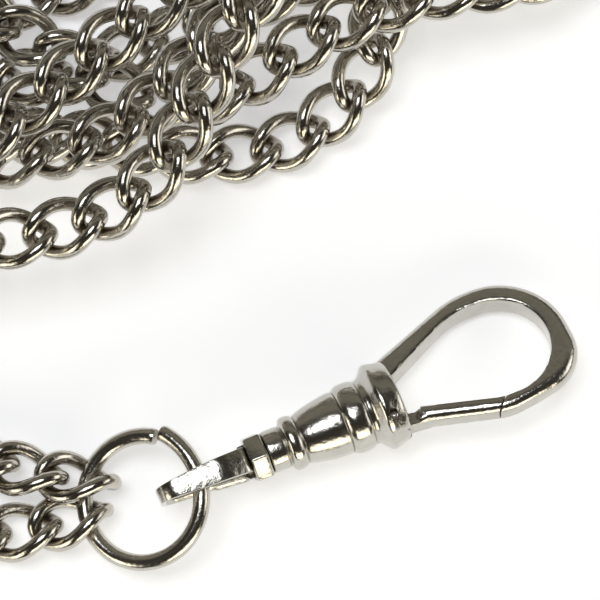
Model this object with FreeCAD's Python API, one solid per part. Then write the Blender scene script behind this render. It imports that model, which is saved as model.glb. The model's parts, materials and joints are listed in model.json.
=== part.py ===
"""Pocket watch chain: a closed curb chain on an open jump ring, with a sprung watch swivel.

Millimetres.  +X runs along the swivel, from its bail to the nose of its hook, +Z is up, and the
whole piece lies on the plane z = 0 with the origin under the middle of its bounding box.

Pieces: about 200 curb links, one jump ring, and the swivel: bail, collar, rivet, hook body,
gate, gate pin and gate spring.  The six pairs of links next to the ring are nodes of their own,
because they fold; the links behind them lie at rest in short runs.
"""
import FreeCAD, Part

import math
import os

Vector = FreeCAD.Vector
Rotation = FreeCAD.Rotation
Placement = FreeCAD.Placement

X = Vector(1, 0, 0)
Y = Vector(0, 1, 0)
Z = Vector(0, 0, 1)
O = Vector(0, 0, 0)

# ---- whole piece ---------------------------------------------------------------------------
CENTRE = (-1.12, 24.31)         # middle of the piece's bounding box, in the swivel's frame

# ---- curb link -----------------------------------------------------------------------------
LINK_WIRE = 1.03                # wire diameter
LINK_HALF_LENGTH = 2.60         # half length of the wire's centreline
LINK_HALF_WIDTH = 1.68          # half width of the wire's centreline
LINK_TWIST = -54.0              # degrees from the middle of the link to either end
LINK_SPANS = 8                  # pairs of arcs that make up the centreline
PITCH = 3.63                    # from one link to the next on a straight chain
REST_HEIGHT = 1.335             # centre of a link that lies flat on the table

# ---- how the chain lies --------------------------------------------------------------------
STRAND_WIDTH = 4.6              # strands closer than this, side to side, have to cross over
STRAND_RISE = 2.68              # from the middle of a strand to the middle of one on top of it
STEEPEST = 0.30                 # rise over run where a strand climbs over another
EASE = 9.0                      # length over which a climb begins and ends
STEP = 0.75                     # spacing of the points that the heights are worked out at
SWEEPS = 12                     # passes over the route until the heights have settled
FOLDING_PAIRS = 6               # pairs of links beside the ring that are joined by hinges
LINKS_IN_RUN = 6                # links in one resting run
UPPER_ROLLS = (-42.0, -34.0, -23.0, -12.0)   # how far the last links roll to take the ring
LOWER_ROLLS = (31.0, 17.0, 8.0)

# the chain's way over the table, from the lower strand at the ring to the upper strand
ROUTE = [
    # lower strand, out from the ring and round to the heap
    (-14.35, 1.3), (-18.1, 1.9), (-22.2, 3.2), (-26.3, 5), (-30.3, 6.8), (-34.8, 8.9),
    (-39.1, 11.6), (-42.5, 15), (-44.2, 19.4), (-43.9, 24), (-42.1, 28.4), (-39.3, 32.1),
    (-35.8, 35),
    # first pass, to the right under everything
    (-31.6, 37), (-26.9, 37.9), (-22.1, 37.6), (-17.3, 36.5), (-12.8, 34.9), (-8.3, 33),
    (-4.1, 31.7), (0.2, 31.1), (4.5, 31), (8.8, 30.9), (13.2, 31), (17.6, 31.1),
    # turn at the top right
    (22, 31.5), (26.6, 31.5), (32.1, 34.1), (34.9, 39.7), (33.1, 46.2), (27.3, 49.7),
    (20.9, 48.7), (16.9, 44.2),
    # second pass, to the left
    (14.7, 40.4), (11.3, 38.2), (7.5, 37.3), (3.3, 37.2), (-1.1, 37.2), (-5.4, 37.7), (-9.3, 39.5),
    # turn at the left
    (-12.9, 43.1), (-17.6, 48.4), (-22.8, 51.5), (-28.8, 50.4), (-33, 45.7), (-33.3, 39.9),
    (-30.2, 35), (-24.8, 33.1),
    # third pass, to the right and out at the heap's front
    (-20.5, 32), (-16.1, 30.3), (-11.5, 29.4), (-7.1, 28.1), (-3.1, 26.3), (0.6, 24), (4, 21.8),
    (7.4, 20.7), (10.6, 20.2), (13.6, 20.7), (16.3, 21.9), (18.5, 23.8), (20, 26.5),
    # turn at the top right
    (20.7, 29.7), (21.5, 33.1), (23.9, 38.2), (28.9, 41.9), (35.4, 41.6), (40.4, 37),
    (41, 30.4), (37.2, 25),
    # fourth pass, to the left
    (32.2, 23.6), (28, 24.2), (24.2, 25.2), (20.2, 25.8), (16.4, 25.9), (12.9, 25.3), (9.8, 24.7),
    (6.8, 24.7), (3.9, 25.3), (1.4, 27), (-0.7, 29.4), (-2.5, 32), (-4.6, 34.7), (-7, 37.6),
    (-9.9, 41.4),
    # turn at the left
    (-13.4, 45.2), (-18.5, 47.2), (-23.9, 45.4), (-27.2, 40.2), (-26.9, 33.9), (-23.2, 29.3),
    (-18.6, 27.9),
    # fifth pass, to the right along the heap's front
    (-15, 27.3), (-11, 26.7), (-7.3, 25.6), (-3.9, 24.7), (-0.7, 24.5), (2.3, 25.3), (5.1, 26.5),
    (7.8, 28.1), (10.7, 29.8), (13.8, 31.7), (17.4, 33.9), (21.2, 36.3),
    # turn at the far right
    (24.5, 39.1), (27, 42.2), (32.2, 44.6), (38.1, 43), (41.9, 37.8), (41.7, 31.4), (37.6, 26.5),
    (31.9, 25.4),
    # sixth pass, to the left on top
    (27.3, 27), (23.4, 29.2), (19.6, 31.2), (16, 32.5), (12, 32.5), (7.9, 31.8), (4.7, 31),
    (1.5, 30.2), (-1.7, 29.3), (-5, 28.5), (-8.3, 27.6), (-11.6, 27),
    # turn at the left
    (-15.6, 27.4), (-21.1, 29.3), (-24.6, 34.2), (-24.2, 40.2), (-19.9, 45), (-14.2, 46),
    # seventh pass, to the right behind the heap
    (-10, 44.8), (-5.7, 43.9), (-1.1, 43.9), (3.3, 45.5), (7.2, 48.2),
    # turn at the top
    (12, 51), (17.6, 50.5), (21.8, 46.9), (22.9, 41.5), (20.6, 36.8),
    # last pass, on top of the heap and down its front
    (17.9, 33.5), (15, 31.2), (12.4, 29.2), (10.3, 27.9), (8.2, 26.3), (5.8, 24.3), (3.4, 22.1),
    (0.6, 20), (-2.2, 19.1), (-5.4, 19.1), (-8.9, 19.6), (-12.5, 20.6),
    # turn back towards the ring
    (-16.4, 21.9), (-20.1, 24.1), (-23.3, 27.1), (-27, 30.2), (-32, 31.3), (-37.3, 28.8),
    (-39.8, 23.5), (-38.9, 17.9), (-34.8, 14.1),
    # upper strand, back to the ring
    (-29.9, 12.5), (-26, 11.4), (-23.3, 10.4), (-20.9, 9.3), (-18.6, 7.9), (-16, 5.6),
    (-12.8, 3.75),
]
# the links beside the ring ride up onto it: heights of their centres, first link first
UPPER_HEIGHTS = (2.12, 2.11, 1.72, 1.42, REST_HEIGHT)
LOWER_HEIGHTS = (1.72, 1.52, 1.38, REST_HEIGHT)

# ---- jump ring -----------------------------------------------------------------------------
RING_WIRE = 1.20
RING_RADIUS = 4.40              # of the wire's centreline
RING_OPEN_RADIUS = 5.30         # of the end that stands off a little
RING_OPEN_PART = 62.0           # how much of the ring belongs to that end, degrees
RING_CENTRE = (-9.15, 0.50, 3.20)
RING_TILT = 20.0                # swivel side up, degrees
RING_DIRECTION = -12.0          # direction on the table of its highest point, degrees
RING_END_DIRECTION = 52.0       # direction of the gap from the ring's centre, degrees
RING_GAP = 0.15

# ---- watch swivel: along its axis from the neck, then the radius ---------------------------
SWIVEL_ROLL = -20.0             # gate side up, degrees
SWIVEL_PITCH = 3.2              # hook end down, degrees
SWIVEL_HEIGHT = 3.85            # axis above the table at the neck
RUN = 0.07                      # running clearance between turning pieces

NECK_RADIUS = 1.54
NECK_LENGTH = 1.31
BEAD_RADIUS = 1.98
BEAD_LENGTH = 1.20
BARREL_RADII = (1.80, 2.18, 2.32)
BARREL_LENGTH = 3.19
WIDE_BEAD_RADIUS = 2.56
WIDE_BEAD_LENGTH = 1.68
WAIST_RADIUS = 2.38
WAIST_LENGTH = 0.72
COLLAR_RADIUS = 3.20
COLLAR_LENGTH = 1.80
GROOVE = 0.10                   # depth and half width of the lines between the turned beads

HOOK_DEPTH = 1.90               # across the hook's plane
HOOK_ROUND = 0.62               # radius along its outer edges
HOOK_THICK = 1.45               # over the eye
HOOK_END_THICK = 1.59           # at its far end
EYE_TOP = 4.15                  # the eye's inner wall, on the side away from the gate
EYE_END = 21.53                 # and at its far end
EYE_RADIUS = 3.75               # its round end, which the watch's bow hangs in
EYE_CENTRE = EYE_END - EYE_RADIUS
NOSE_START = 16.10              # where the gate ends and the hook's nose begins
GATE_CUT_ANGLE = 45.0           # slant of the butt between gate and nose, degrees
GATE_GAP = 0.14
GATE_SHOULDER = 11.0            # where its bar steps down to the neck in the collar

PIVOT = (8.95, -2.00)           # gate pin, along the axis and across it
PIN_RADIUS = 0.28
PIN_LENGTH = 4.40
EAR_RADIUS = 0.74
EAR_DEPTH = 1.24
SLOT_START = 7.15
SLOT_LENGTH = 3.20
SLOT_DEPTH = 1.50
SLOT_OUTER = 2.86               # its walls, from the axis towards the gate
SLOT_INNER = 0.05

CAVITY_RADIUS = 1.05
CAVITY_START = 1.90
CAVITY_END = 7.75
SPRING_RADIUS = 0.82
SPRING_WIRE = 0.26
SPRING_START = 2.95
SPRING_END = 7.30
SPRING_TURNS = 7

COLLAR_HALF_WIDTH = 1.80        # across the corners of the six-sided collar
COLLAR_BLOCK_LENGTH = 1.28
COLLAR_CORNER = 0.16
RIVET_RADIUS = 0.55
RIVET_HEAD_RADIUS = 0.95
RIVET_HEAD = 0.55

BAIL_WIDTH = 1.86               # beside the collar
BAIL_MIDDLE_WIDTH = 1.58        # and where it begins to narrow
BAIL_MIDDLE = 3.70              # which is this far from the collar
BAIL_TIP_WIDTH = 0.86
BAIL_BAND = 0.60
BAIL_LENGTH = 6.80
BAIL_FOOT_WIDTH = 2.50
BAIL_FOOT_LENGTH = 2.90


# ---- small helpers -------------------------------------------------------------------------
def unit(v):
    """v at length one."""
    return v * (1.0 / v.Length)


def rounded_outline(corners):
    """A closed wire in the XY plane through corners (x, y, radius), rounded by tangent arcs."""
    count = len(corners)
    entry, middle, leave = [], [], []
    for i in range(count):
        here = Vector(corners[i][0], corners[i][1], 0)
        before = Vector(corners[i - 1][0], corners[i - 1][1], 0)
        after = Vector(corners[(i + 1) % count][0], corners[(i + 1) % count][1], 0)
        radius = corners[i][2]
        back = unit(before - here)
        ahead = unit(after - here)
        half = back.getAngle(ahead) / 2
        entry.append(here + back * (radius / math.tan(half)))
        leave.append(here + ahead * (radius / math.tan(half)))
        inward = unit(back + ahead)
        middle.append(here + inward * (radius / math.sin(half) - radius))
    edges = []
    for i in range(count):
        if corners[i][2] > 0:
            edges.append(Part.Arc(entry[i], middle[i], leave[i]).toShape())
        start = leave[i]
        end = entry[(i + 1) % count]
        if start.distanceToPoint(end) > 1e-6:
            edges.append(Part.LineSegment(start, end).toShape())
    return Part.Wire(edges)


def plate(corners, depth):
    """The outline as a plate, half its depth on either side of the XY plane."""
    face = Part.Face(rounded_outline(corners))
    face.translate(Z * (-depth / 2))
    return face.extrude(Z * depth)


def turned(profile):
    """A solid of revolution about X from (x, radius) points, closed down to the axis."""
    points = [Vector(profile[0][0], 0, 0)]
    points += [Vector(x, r, 0) for x, r in profile]
    points.append(Vector(profile[-1][0], 0, 0))
    points.append(points[0])
    return Part.Face(Part.makePolygon(points)).revolve(O, X, 360)


def rod(radius, start, end, y=0.0):
    """A cylinder along X."""
    return Part.makeCylinder(radius, end - start, Vector(start, y, 0), X)


# ---- curb link -----------------------------------------------------------------------------
def link_point(t):
    """The link's centreline: an oval whose plane turns by the twist on the way to each end."""
    turn = math.radians(LINK_TWIST) * math.cos(t)
    across = LINK_HALF_WIDTH * math.sin(t)
    return Vector(LINK_HALF_LENGTH * math.cos(t), across * math.cos(turn), across * math.sin(turn))


def link_direction(t):
    """The centreline's direction."""
    small = 1e-5
    return unit(link_point(t + small) - link_point(t - small))


def arc_between(start, end, corner):
    """The arc from start to end whose tangents meet at corner, halfway round it."""
    middle = (start + end) * 0.5
    half = start.distanceToPoint(end) / 2
    height = corner.distanceToPoint(middle)
    bulge = half * math.tan(math.atan2(height, half) / 2)
    return Part.Arc(start, middle + unit(corner - middle) * bulge, end).toShape()


def two_arcs(start, start_direction, end, end_direction):
    """Two tangent arcs from start to end, with the given directions at both."""
    chord = end - start
    both = start_direction + end_direction
    a = 2 * (1 - start_direction.dot(end_direction))
    b = chord.dot(both)
    reach = (math.sqrt(b * b + a * chord.dot(chord)) - b) / a
    first = start + start_direction * reach
    second = end - end_direction * reach
    joint = (first + second) * 0.5
    return [arc_between(start, joint, first), arc_between(joint, end, second)]


def tube_faces(arc, radius):
    """The skin of a round wire bent along one arc."""
    start = arc.valueAt(arc.FirstParameter)
    direction = arc.tangentAt(arc.FirstParameter)
    turn = math.degrees(arc.LastParameter - arc.FirstParameter)
    circle = Part.Circle(start, direction, radius).toShape()
    return circle.revolve(arc.Curve.Center, arc.Curve.Axis, turn).Faces


def make_link():
    """One curb link at the origin, its length along X and its flat faces up and down."""
    faces = []
    for i in range(LINK_SPANS):
        t0 = 2 * math.pi * i / LINK_SPANS
        t1 = 2 * math.pi * (i + 1) / LINK_SPANS
        arcs = two_arcs(link_point(t0), link_direction(t0), link_point(t1), link_direction(t1))
        for arc in arcs:
            faces += tube_faces(arc, LINK_WIRE / 2)
    skin = Part.makeShell(faces)
    skin.sewShape()
    return Part.Solid(Part.Shell(skin.Faces))


# ---- how the chain lies --------------------------------------------------------------------
def smooth_route():
    """The route as a smooth curve: points of a uniform cubic B-spline, about STEP apart."""
    points = [ROUTE[0]] * 2 + ROUTE + [ROUTE[-1]] * 2
    curve = []
    for i in range(len(points) - 3):
        p = points[i:i + 4]
        parts = max(1, round(math.dist(p[1], p[2]) / STEP))
        for k in range(parts):
            t = k / parts
            w = ((1 - t) ** 3, 3 * t ** 3 - 6 * t ** 2 + 4, -3 * t ** 3 + 3 * t ** 2 + 3 * t + 1, t ** 3)
            curve.append(tuple(sum(w[j] * p[j][c] for j in range(4)) / 6 for c in (0, 1)))
    curve.append(ROUTE[-1])
    return curve


def distances(curve):
    """How far along the curve each of its points is."""
    along = [0.0]
    for a, b in zip(curve, curve[1:]):
        along.append(along[-1] + math.dist(a, b))
    return along


def crossings(curve, along):
    """For each point, the earlier points of the chain that it lies over, and the rise needed."""
    found = []
    for j in range(len(curve)):
        below = []
        for i in range(j):
            beside_ring = along[i] + along[-1] - along[j] < 6 * STRAND_WIDTH
            if along[j] - along[i] > 3 * STRAND_WIDTH and not beside_ring:
                apart = math.dist(curve[i], curve[j])
                if apart < STRAND_WIDTH:
                    below.append((i, STRAND_RISE * min(1.0, 3.5 * (1 - apart / STRAND_WIDTH))))
        found.append(below)
    return found


def eased(need, along):
    """The least height that is never under need and climbs no faster than STEEPEST."""
    count = len(need)
    half = EASE / 2
    around = []
    for i in range(count):
        low = i
        while low > 0 and along[i] - along[low - 1] <= half:
            low -= 1
        high = i
        while high < count - 1 and along[high + 1] - along[i] <= half:
            high += 1
        around.append((low, high + 1))
    height = [max(need[low:high]) for low, high in around]
    for i in range(1, count):
        height[i] = max(height[i], height[i - 1] - STEEPEST * (along[i] - along[i - 1]))
    for i in range(count - 2, -1, -1):
        height[i] = max(height[i], height[i + 1] - STEEPEST * (along[i + 1] - along[i]))
    return [sum(height[low:high]) / (high - low) for low, high in around]


def end_height(distance, heights):
    """Height of a strand's centre near the ring, between its links' heights."""
    k = int(distance / PITCH)
    if k + 1 >= len(heights):
        return REST_HEIGHT
    part = distance / PITCH - k
    return heights[k] + (heights[k + 1] - heights[k]) * part


def lay_chain():
    """The chain's centreline as it lies, each stretch resting on those laid before it."""
    curve = smooth_route()
    along = distances(curve)
    below = crossings(curve, along)
    height = [REST_HEIGHT] * len(curve)
    for sweep in range(SWEEPS):
        need = []
        for j in range(len(curve)):
            need.append(max([REST_HEIGHT] + [height[i] + rise for i, rise in below[j]]))
        height = eased(need, along)
    total = along[-1]
    line = []
    for (x, y), h, s in zip(curve, height, along):
        ends = end_height(s, LOWER_HEIGHTS), end_height(total - s, UPPER_HEIGHTS)
        line.append(Vector(x, y, max(h, *ends)))
    return line


def place_links(line, pitch):
    """Centres one pitch apart along the line, and how far the last is from its end."""
    centres = [line[0]]
    i = 1
    while True:
        while i < len(line) and line[i].distanceToPoint(centres[-1]) < pitch:
            i += 1
        if i == len(line):
            return centres, line[-1].distanceToPoint(centres[-1])
        here = centres[-1]
        inside, outside = line[i - 1], line[i]
        for halving in range(30):
            middle = (inside + outside) * 0.5
            if middle.distanceToPoint(here) < pitch:
                inside = middle
            else:
                outside = middle
        centres.append(outside)


def link_centres():
    """Link centres from the lower strand to the upper one, with the last at the line's end."""
    line = lay_chain()
    count = len(place_links(line, PITCH)[0])
    low, high = PITCH * 0.98, PITCH * 1.02
    for halving in range(40):
        pitch = (low + high) / 2
        centres = place_links(line, pitch)[0]
        if len(centres) > count:
            low = pitch
        else:
            high = pitch
    return place_links(line, low)[0][:count + 1]


def link_placements():
    """Where each link lies: its length along the chain, its flat side up but for its roll."""
    centres = link_centres()
    last = len(centres) - 1
    middle = [unit(b - a) for a, b in zip(centres, centres[2:])]
    first_way = unit((centres[1] - centres[0]) * (2 / PITCH) - middle[0])
    last_way = unit((centres[-1] - centres[-2]) * (2 / PITCH) - middle[-1])
    places = []
    for i, (centre, along) in enumerate(zip(centres, [first_way] + middle + [last_way])):
        up = unit(Z - along * Z.dot(along))
        roll = 0.0
        if i < len(LOWER_ROLLS):
            roll = LOWER_ROLLS[i]
        if last - i < len(UPPER_ROLLS):
            roll = UPPER_ROLLS[last - i]
        turn = Rotation(along, up.cross(along), up, "XZY")
        places.append(Placement(centre, turn * Rotation(X, roll)))
    return places


# ---- jump ring -----------------------------------------------------------------------------
def make_ring():
    """Round wire bent to a ring; the end before the gap springs out to a wider radius."""
    gap = math.degrees(RING_GAP / RING_RADIUS)
    start = Vector(RING_RADIUS, 0, 0)
    circle = Part.Circle(start, Y, RING_WIRE / 2).toShape()
    disc = Part.Face(Part.Wire(circle))
    round_part = disc.revolve(O, Z, -(360 - gap - RING_OPEN_PART))
    open_centre = Vector(RING_RADIUS - RING_OPEN_RADIUS, 0, 0)
    open_part = disc.revolve(open_centre, Z, RING_OPEN_PART * RING_RADIUS / RING_OPEN_RADIUS)
    ring = round_part.fuse(open_part)
    ring = ring.removeSplitter()
    level = Rotation(Z, RING_END_DIRECTION - RING_OPEN_PART - RING_DIRECTION)
    tilted = Rotation(Z, RING_DIRECTION) * Rotation(Y, -RING_TILT) * level
    ring.Placement = Placement(Vector(*RING_CENTRE), tilted)
    return ring


# ---- watch swivel --------------------------------------------------------------------------
def swivel_placement():
    """From the swivel's own frame, hook in the XY plane and gate at -Y, to how it lies."""
    turn = Rotation(Y, SWIVEL_PITCH) * Rotation(X, SWIVEL_ROLL)
    return Placement(Vector(0, 0, SWIVEL_HEIGHT), turn)


def barrel_profile():
    """Turned outline of the hook body, from the neck's face to the collar's face."""
    x1 = NECK_LENGTH
    x2 = x1 + BEAD_LENGTH
    x3 = x2 + BARREL_LENGTH
    x4 = x3 + WIDE_BEAD_LENGTH
    x5 = x4 + WAIST_LENGTH
    x6 = x5 + COLLAR_LENGTH
    return [
        (0.0, NECK_RADIUS - 0.12), (0.12, NECK_RADIUS), (x1 - GROOVE, NECK_RADIUS),
        (x1, NECK_RADIUS - GROOVE), (x1 + 0.22, BEAD_RADIUS - 0.10), (x1 + 0.45, BEAD_RADIUS),
        (x2 - 0.45, BEAD_RADIUS), (x2 - 0.22, BEAD_RADIUS - 0.10), (x2, BARREL_RADII[0] - GROOVE),
        (x2 + GROOVE, BARREL_RADII[0]), ((x2 + x3) / 2, BARREL_RADII[1]),
        (x3 - GROOVE, BARREL_RADII[2]), (x3, BARREL_RADII[2] - GROOVE),
        (x3 + 0.25, WIDE_BEAD_RADIUS - 0.12), (x3 + 0.55, WIDE_BEAD_RADIUS),
        (x4 - 0.55, WIDE_BEAD_RADIUS), (x4 - 0.20, WIDE_BEAD_RADIUS - 0.10),
        (x4, WAIST_RADIUS), (x5 - 0.30, WAIST_RADIUS + 0.10), (x5, COLLAR_RADIUS - 0.35),
        (x5 + 0.20, COLLAR_RADIUS - 0.06), (x5 + 0.40, COLLAR_RADIUS),
        (x5 + 0.75, COLLAR_RADIUS - 0.10), (x6 - 0.25, COLLAR_RADIUS - 0.28),
        (x6, COLLAR_RADIUS - 0.55),
    ]


def hook_loop():
    """The bent hook and, still on it, the bar that the gate is cut from."""
    outer = [
        (9.40, 3.08, 0), (16.20, EYE_TOP + HOOK_THICK, 7.0),
        (EYE_END + HOOK_END_THICK, EYE_TOP + HOOK_THICK, 5.25),
        (EYE_END + HOOK_END_THICK, -3.73, 3.4), (16.70, -4.49, 4.0), (9.40, -2.24, 0),
    ]
    inner = [
        (8.60, 0.66, 0), (15.75, EYE_TOP, 6.0), (EYE_END, EYE_TOP, EYE_RADIUS - 0.005),
        (EYE_END, EYE_TOP - 2 * EYE_RADIUS, EYE_RADIUS - 0.005),
        (16.60, EYE_TOP - 2 * EYE_RADIUS - 0.02, 4.0), (8.60, -0.80, 0),
    ]
    loop = plate(outer, HOOK_DEPTH)
    rim = []
    for edge in loop.Edges:
        box = edge.BoundBox
        if box.ZMax - box.ZMin < 1e-6 and box.XMax > 9.5:
            rim.append(edge)
    loop = loop.makeFillet(HOOK_ROUND, rim)
    return loop.cut(plate(inner, 2 * HOOK_DEPTH))


def gate_side(offset):
    """Space on the gate's side of the slanted butt, down to its far end in the collar."""
    cut = Part.makeBox(7.3, 7.4, 6.0, Vector(-7.3, -6.0, -3.0))
    cut.Placement = Placement(Vector(NOSE_START - offset, -4.1, 0), Rotation(Z, -GATE_CUT_ANGLE))
    return cut


def gate_slot():
    """Pocket in the collar's face that the gate's ear and neck work in."""
    corner = Vector(SLOT_START, -SLOT_OUTER, -SLOT_DEPTH / 2)
    return Part.makeBox(SLOT_LENGTH, SLOT_OUTER - SLOT_INNER, SLOT_DEPTH, corner)


def make_hook_body():
    """Turned barrel and bent hook in one casting, with its bores and the gate's slot."""
    barrel = turned(barrel_profile())
    loop = hook_loop().cut(gate_side(0.0))
    body = barrel.fuse(loop)
    body = body.cut(rod(RIVET_RADIUS + RUN, -1.0, CAVITY_START + 0.1))
    body = body.cut(rod(CAVITY_RADIUS, CAVITY_START, CAVITY_END))
    body = body.cut(gate_slot())
    px, py = PIVOT
    return body.cut(Part.makeCylinder(PIN_RADIUS, 8, Vector(px, py, -4), Z))


def make_gate():
    """Gate: a bar like the hook's wire, with a shouldered neck, an ear on the pin and a heel."""
    px, py = PIVOT
    bar = hook_loop().common(gate_side(GATE_GAP))
    bar = bar.cut(Part.makeBox(GATE_SHOULDER - 7.0, 8.0, 6.0, Vector(7.0, -6.0, -3.0)))
    neck = plate(
        [(px, py - 0.5, 0.1), (11.6, -2.80, 0.1), (11.6, -1.98, 0.1), (px, py + 0.62, 0.1)],
        EAR_DEPTH,
    )
    ear = Part.makeCylinder(EAR_RADIUS, EAR_DEPTH, Vector(px, py, -EAR_DEPTH / 2), Z)
    heel = plate(
        [(7.75, -1.30, 0.12), (8.55, -2.45, 0.12), (9.35, -1.65, 0.12), (8.15, -0.55, 0.12),
         (7.75, -0.55, 0.12)],
        EAR_DEPTH,
    )
    gate = bar.fuse([neck, ear, heel])
    return gate.cut(Part.makeCylinder(PIN_RADIUS + 0.03, 8, Vector(px, py, -4), Z))


def make_gate_pin():
    """Hinge pin through the collar."""
    px, py = PIVOT
    return Part.makeCylinder(PIN_RADIUS, PIN_LENGTH, Vector(px, py, -PIN_LENGTH / 2), Z)


def make_gate_spring():
    """Coil spring in the barrel that presses on the gate's heel."""
    length = SPRING_END - SPRING_START
    pitch = length / SPRING_TURNS
    helix = Part.makeHelix(pitch, length, SPRING_RADIUS)
    start = Vector(SPRING_RADIUS, 0, 0)
    lead = pitch / (2 * math.pi * SPRING_RADIUS)
    circle = Part.Circle(start, unit(Vector(0, 1, lead)), SPRING_WIRE / 2).toShape()
    coil = Part.Wire(helix).makePipeShell([Part.Wire(circle)], True, True)
    coil.Placement = Placement(Vector(SPRING_START, 0, 0), Rotation(Y, 90))
    return coil


def make_swivel_collar():
    """Six-sided collar between the bail's foot and the barrel's neck, its corners rubbed off."""
    start = -COLLAR_BLOCK_LENGTH - RUN
    end = -RUN
    corners = []
    for k in range(6):
        turn = math.radians(60 * k)
        y = COLLAR_HALF_WIDTH * math.cos(turn)
        z = COLLAR_HALF_WIDTH * math.sin(turn)
        corners.append((y, z, COLLAR_CORNER))
    block = plate(corners, COLLAR_BLOCK_LENGTH)
    block.rotate(O, Vector(1, 1, 1), 120)
    block.translate(Vector((start + end) / 2, 0, 0))
    bevel = COLLAR_CORNER / 2
    rim = COLLAR_HALF_WIDTH
    block = block.common(turned([
        (start, rim - bevel), (start + bevel, rim), (end - bevel, rim), (end, rim - bevel),
    ]))
    return block.cut(rod(RIVET_RADIUS, start - 1, end + 1))


def make_rivet():
    """Rivet that holds the bail and collar to the barrel and lets them turn."""
    foot = -COLLAR_BLOCK_LENGTH - RUN - BAIL_BAND
    shank = rod(RIVET_RADIUS, foot, CAVITY_START + RUN)
    head = rod(RIVET_HEAD_RADIUS, CAVITY_START + RUN, CAVITY_START + RUN + RIVET_HEAD)
    upset = turned([(foot - 0.30, 0.40), (foot - 0.20, 0.54), (foot, 0.62)])
    return shank.fuse([head, upset])


def make_bail():
    """Bail: a flat band bent to a loop, its lower run widened to a foot at the collar."""
    x0 = -COLLAR_BLOCK_LENGTH - RUN
    tip = x0 - BAIL_LENGTH
    b = BAIL_BAND
    outer = [
        (x0, 1.35, 0.3), (x0 - 1.9, 1.95, 3.0), (tip, 1.95, 1.5), (tip, -1.75, 1.3),
        (x0, -1.55, 0.3),
    ]
    inner = [
        (x0 - b, 1.35 - 0.9 * b, 0.12), (x0 - 2.0, 1.95 - b, 2.4), (tip + b, 1.95 - b, 0.9),
        (tip + b, -1.75 + b, 0.7), (x0 - b, -1.55 + b, 0.12),
    ]
    band = plate(outer, BAIL_FOOT_WIDTH).cut(plate(inner, 2 * BAIL_FOOT_WIDTH))
    band.rotate(O, X, 90)
    half = BAIL_WIDTH / 2
    half_tip = BAIL_TIP_WIDTH / 2
    half_foot = BAIL_FOOT_WIDTH / 2
    step = x0 - BAIL_FOOT_LENGTH
    middle = x0 - BAIL_MIDDLE
    half_middle = BAIL_MIDDLE_WIDTH / 2
    along = [
        (x0 + 1, half_foot, 0), (x0, half_foot, 0), (step, half_foot - 0.35, 0),
        (step, half_middle, 0), (middle, half_middle, 0), (tip - 1, half_tip, 0),
        (tip - 1, -half_tip, 0), (middle, -half_middle, 0), (step, -half_middle, 0),
        (step, -half_foot + 0.35, 0), (x0, -half_foot, 0), (x0 + 1, -half_foot, 0),
    ]
    lower = plate(along, 8.0).common(Part.makeBox(20, 8, 5, Vector(x0 - 15, -4, -5)))
    narrow = [
        (x0 + 1, half, 0), (x0, half, 0), (middle, half_middle, 0), (tip - 1, half_tip, 0),
        (tip - 1, -half_tip, 0), (middle, -half_middle, 0), (x0, -half, 0), (x0 + 1, -half, 0),
    ]
    upper = plate(narrow, 8.0).common(Part.makeBox(20, 8, 5, Vector(x0 - 15, -4, 0)))
    bail = band.common(lower.fuse(upper))
    return bail.cut(rod(RIVET_RADIUS, x0 - b - 0.1, x0 + 1))


# ---- the whole piece -----------------------------------------------------------------------
def swivel_pieces():
    """The swivel's pieces by name, as they lie."""
    place = swivel_placement()
    upright = Placement(O, Rotation(X, -SWIVEL_ROLL))
    pieces = {
        "hook_body": make_hook_body(),
        "gate": make_gate(),
        "gate_pin": make_gate_pin(),
        "gate_spring": make_gate_spring(),
        "swivel_collar": make_swivel_collar(),
        "swivel_rivet": make_rivet(),
        "bail": make_bail(),
    }
    for name, shape in pieces.items():
        own = upright if name == "bail" else Placement()
        shape.Placement = place * own * shape.Placement
    return pieces


def chain_pieces():
    """The chain by name: single links beside the ring, then short runs of resting links."""
    link = make_link()
    links = []
    for place in link_placements():
        copy = link.copy()
        copy.Placement = place
        links.append(copy)
    pieces = {}
    for k in range(FOLDING_PAIRS):
        pieces["link_upper_%d" % (k + 1)] = links[-1 - k]
        pieces["link_lower_%d" % (k + 1)] = links[k]
    resting = links[FOLDING_PAIRS:-FOLDING_PAIRS]
    for k in range(0, len(resting), LINKS_IN_RUN):
        run = Part.makeCompound(resting[k:k + LINKS_IN_RUN])
        pieces["chain_run_%02d" % (k // LINKS_IN_RUN + 1)] = run
    return pieces


def main():
    """Builds every piece and writes one STEP file for each."""
    os.makedirs("parts", exist_ok=True)
    pieces = chain_pieces()
    pieces["jump_ring"] = make_ring()
    pieces.update(swivel_pieces())
    for name, shape in pieces.items():
        shape.translate(Vector(-CENTRE[0], -CENTRE[1], 0))
        shape.exportStep("parts/" + name + ".step")


if __name__ == "__main__":
    main()
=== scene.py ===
"""Looks of a pocket watch chain: a curb chain, a jump ring and a swivel with a sprung gate."""

import json
import math

import bmesh
import bpy
import numpy as np
from mathutils import Matrix, Vector, noise


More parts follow.
